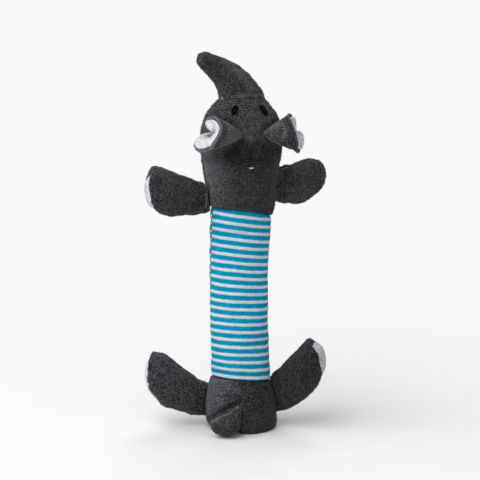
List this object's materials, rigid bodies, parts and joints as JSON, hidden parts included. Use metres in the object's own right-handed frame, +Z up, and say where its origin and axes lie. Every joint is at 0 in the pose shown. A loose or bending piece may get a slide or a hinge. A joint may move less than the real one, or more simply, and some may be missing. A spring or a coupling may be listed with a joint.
{
  "type": "squeaky dog toy",
  "caption": "Stuffed plush elephant stick toy with a striped knit body, floppy limbs and ears, a raised trunk and a hidden squeaker, standing on its rump.",
  "frame": {"origin": "middle of the flat face under the rump that the toy stands on", "axes": "+Z up along the body to the trunk, -Y the way the face looks, +X to the right as seen from in front of the face"},
  "size_m": [0.128, 0.0674, 0.2512],
  "materials": {
    "charcoal_plush": "short pile plush",
    "white_plush": "fluffy plush",
    "striped_knit": "striped knit",
    "black_thread": "satin thread",
    "white_thread": "thread",
    "stuffing": "loose fibre",
    "clear_plastic": "translucent"
  },
  "bodies": {
    "rump": {"rump_front_panel": "charcoal_plush", "rump_back_panel": "charcoal_plush", "rump_stuffing": "stuffing"},
    "torso": {"sleeve_front_panel": "striped_knit", "sleeve_back_panel": "striped_knit", "body_stuffing_front": "stuffing", "body_stuffing_back": "stuffing", "squeaker_base": "clear_plastic", "whistle_body": "clear_plastic", "reed_clip": "clear_plastic"},
    "squeaker_cap": {"squeaker_cap": "clear_plastic"},
    "whistle_reed": {"whistle_reed": "clear_plastic"},
    "head": {"head_front_panel": "charcoal_plush", "head_back_panel": "charcoal_plush", "head_stuffing": "stuffing", "left_eye": "black_thread", "right_eye": "black_thread", "chest_tack": "white_thread"},
    "trunk": {"trunk_front_panel": "charcoal_plush", "trunk_back_panel": "charcoal_plush", "trunk_stuffing": "stuffing"},
    "left_ear": {"left_ear_outer": "charcoal_plush", "left_ear_lining": "white_plush"},
    "right_ear": {"right_ear_outer": "charcoal_plush", "right_ear_lining": "white_plush"},
    "tail": {"tail_front_panel": "charcoal_plush", "tail_back_panel": "charcoal_plush", "tail_stuffing": "stuffing"},
    "left_arm": {"left_arm_front_panel": "charcoal_plush", "left_arm_back_panel": "charcoal_plush", "left_arm_stuffing": "stuffing", "left_arm_sole": "white_plush"},
    "right_arm": {"right_arm_front_panel": "charcoal_plush", "right_arm_back_panel": "charcoal_plush", "right_arm_stuffing": "stuffing", "right_arm_sole": "white_plush"},
    "left_foot": {"left_foot_front_panel": "charcoal_plush", "left_foot_back_panel": "charcoal_plush", "left_foot_stuffing": "stuffing", "left_foot_sole": "white_plush"},
    "right_foot": {"right_foot_front_panel": "charcoal_plush", "right_foot_back_panel": "charcoal_plush", "right_foot_stuffing": "stuffing", "right_foot_sole": "white_plush"}
  },
  "joints": [
    {"name": "waist_twist", "type": "hinge", "parent": "rump", "child": "torso", "pos_m": [0, 0, 0.035], "axis": [0, 0, 1], "range_deg": [-30, 30], "stiffness_Nm_per_rad": 0.1},
    {"name": "neck_nod", "type": "hinge", "parent": "torso", "child": "head", "pos_m": [-0.003, 0, 0.10561], "axis": [1, 0, 0], "range_deg": [-10, 12], "stiffness_Nm_per_rad": 0.4},
    {"name": "trunk_bend", "type": "hinge", "parent": "head", "child": "trunk", "pos_m": [0.0004, 0, 0.1998], "axis": [0, 1, 0], "range_deg": [-15, 15], "stiffness_Nm_per_rad": 0.08},
    {"name": "left_ear_fold", "type": "hinge", "parent": "head", "child": "left_ear", "pos_m": [-0.0075, -0.02171, 0.1992], "axis": [0.1564, 0, 0.9877], "range_deg": [0, 35], "stiffness_Nm_per_rad": 0.004},
    {"name": "right_ear_fold", "type": "hinge", "parent": "head", "child": "right_ear", "pos_m": [0.0075, -0.02171, 0.1992], "axis": [0.0698, 0, -0.9976], "range_deg": [0, 35], "stiffness_Nm_per_rad": 0.004},
    {"name": "left_arm_swing", "type": "hinge", "parent": "head", "child": "left_arm", "pos_m": [-0.02295, 0, 0.156], "axis": [-0.1625, 0, 0.9867], "range_deg": [-38, 45], "stiffness_Nm_per_rad": 0.01},
    {"name": "right_arm_swing", "type": "hinge", "parent": "head", "child": "right_arm", "pos_m": [0.02404, 0, 0.163], "axis": [0.1581, 0, 0.9874], "range_deg": [-60, 13], "stiffness_Nm_per_rad": 0.01},
    {"name": "left_foot_swing", "type": "hinge", "parent": "rump", "child": "left_foot", "pos_m": [-0.02217, 0.00807, 0.021], "axis": [0.1038, -0.0378, 0.9939], "range_deg": [-38, 38], "stiffness_Nm_per_rad": 0.02},
    {"name": "right_foot_swing", "type": "hinge", "parent": "rump", "child": "right_foot", "pos_m": [0.02191, -0.00797, 0.0225], "axis": [-0.1245, 0.0453, 0.9912], "range_deg": [-26, 48], "stiffness_Nm_per_rad": 0.02},
    {"name": "tail_lift", "type": "hinge", "parent": "rump", "child": "tail", "pos_m": [-0.00694, -0.01908, 0.0222], "axis": [-0.9397, 0.342, 0], "range_deg": [0, 80]},
    {"name": "squeaker_press", "type": "slide", "parent": "torso", "child": "squeaker_cap", "axis": [0, 1, 0], "range_m": [0, 0.005], "stiffness_N_per_m": 200},
    {"name": "reed_flutter", "type": "hinge", "parent": "torso", "child": "whistle_reed", "pos_m": [0, 0.00325, 0.09555], "axis": [-1, 0, 0], "range_deg": [0, 6], "stiffness_Nm_per_rad": 0.000002}
  ]
}
